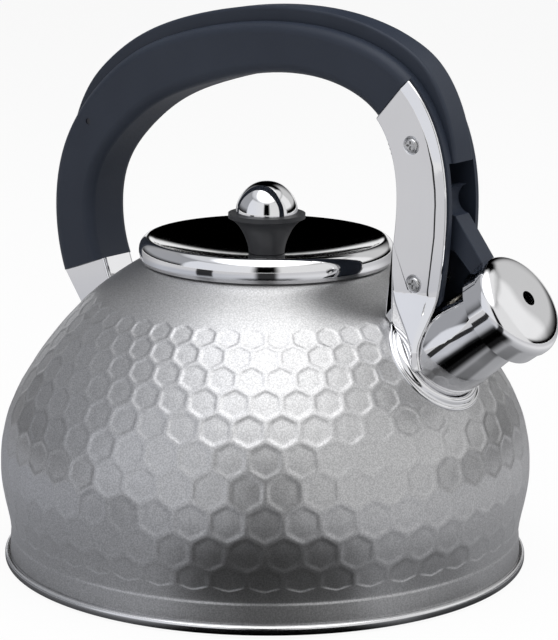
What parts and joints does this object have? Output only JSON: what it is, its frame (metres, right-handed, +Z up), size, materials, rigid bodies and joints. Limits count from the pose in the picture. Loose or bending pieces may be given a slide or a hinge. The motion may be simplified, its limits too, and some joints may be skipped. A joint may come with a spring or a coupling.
{
  "type": "whistling kettle",
  "caption": "Stovetop kettle with a hexagon-embossed domed body, fixed arched handle, lift-out lid and a thumb lever that opens the whistle cap on its spout.",
  "frame": {"origin": "middle of the base, on the surface that the kettle stands on", "axes": "+Z up, +X towards the spout, XZ is the plane of the handle"},
  "size_m": [0.2369, 0.2124, 0.2228],
  "materials": {
    "embossed_coat": "semi-gloss metallic grey coating over embossed steel",
    "satin_steel": "satin",
    "polished_steel": "mirror polish",
    "plain_steel": "bright",
    "aluminium_core": "mill",
    "soft_black": "soft-touch slate black",
    "knob_black": "satin black",
    "brass_insert": "machined",
    "grey_silicone": "matte"
  },
  "bodies": {
    "kettle": {"body_shell": "embossed_coat", "neck_collar": "satin_steel", "base_pan": "satin_steel", "base_cap": "satin_steel", "heat_disc": "aluminium_core", "spout_tube": "polished_steel", "spout_flange": "polished_steel", "handle_grip": "soft_black", "handle_spine": "soft_black", "rear_bracket": "polished_steel", "rear_pin": "plain_steel", "front_plate_left": "polished_steel", "front_plate_right": "polished_steel", "bracket_screws": "plain_steel", "screw_sleeves": "brass_insert", "lever_pivot_pin": "plain_steel"},
    "whistle": {"whistle_lever": "soft_black", "lever_spring": "plain_steel", "whistle_cap": "polished_steel", "whistle_disc": "plain_steel", "cap_seal": "grey_silicone", "cap_screw": "plain_steel"},
    "lid": {"lid_dish": "polished_steel", "lid_skirt": "satin_steel", "knob_pedestal": "knob_black", "knob_dome": "polished_steel", "knob_screw": "plain_steel", "knob_washer": "plain_steel"}
  },
  "joints": [
    {"name": "whistle_hinge", "type": "hinge", "parent": "kettle", "child": "whistle", "pos_m": [0.085, 0, 0.146], "axis": [0, -1, 0], "range_deg": [0, 35], "stiffness_Nm_per_rad": 0.05, "springref_deg": -28.65},
    {"name": "lid_lift", "type": "slide", "parent": "kettle", "child": "lid", "axis": [0, 0, 1], "range_m": [0, 0.036]}
  ]
}
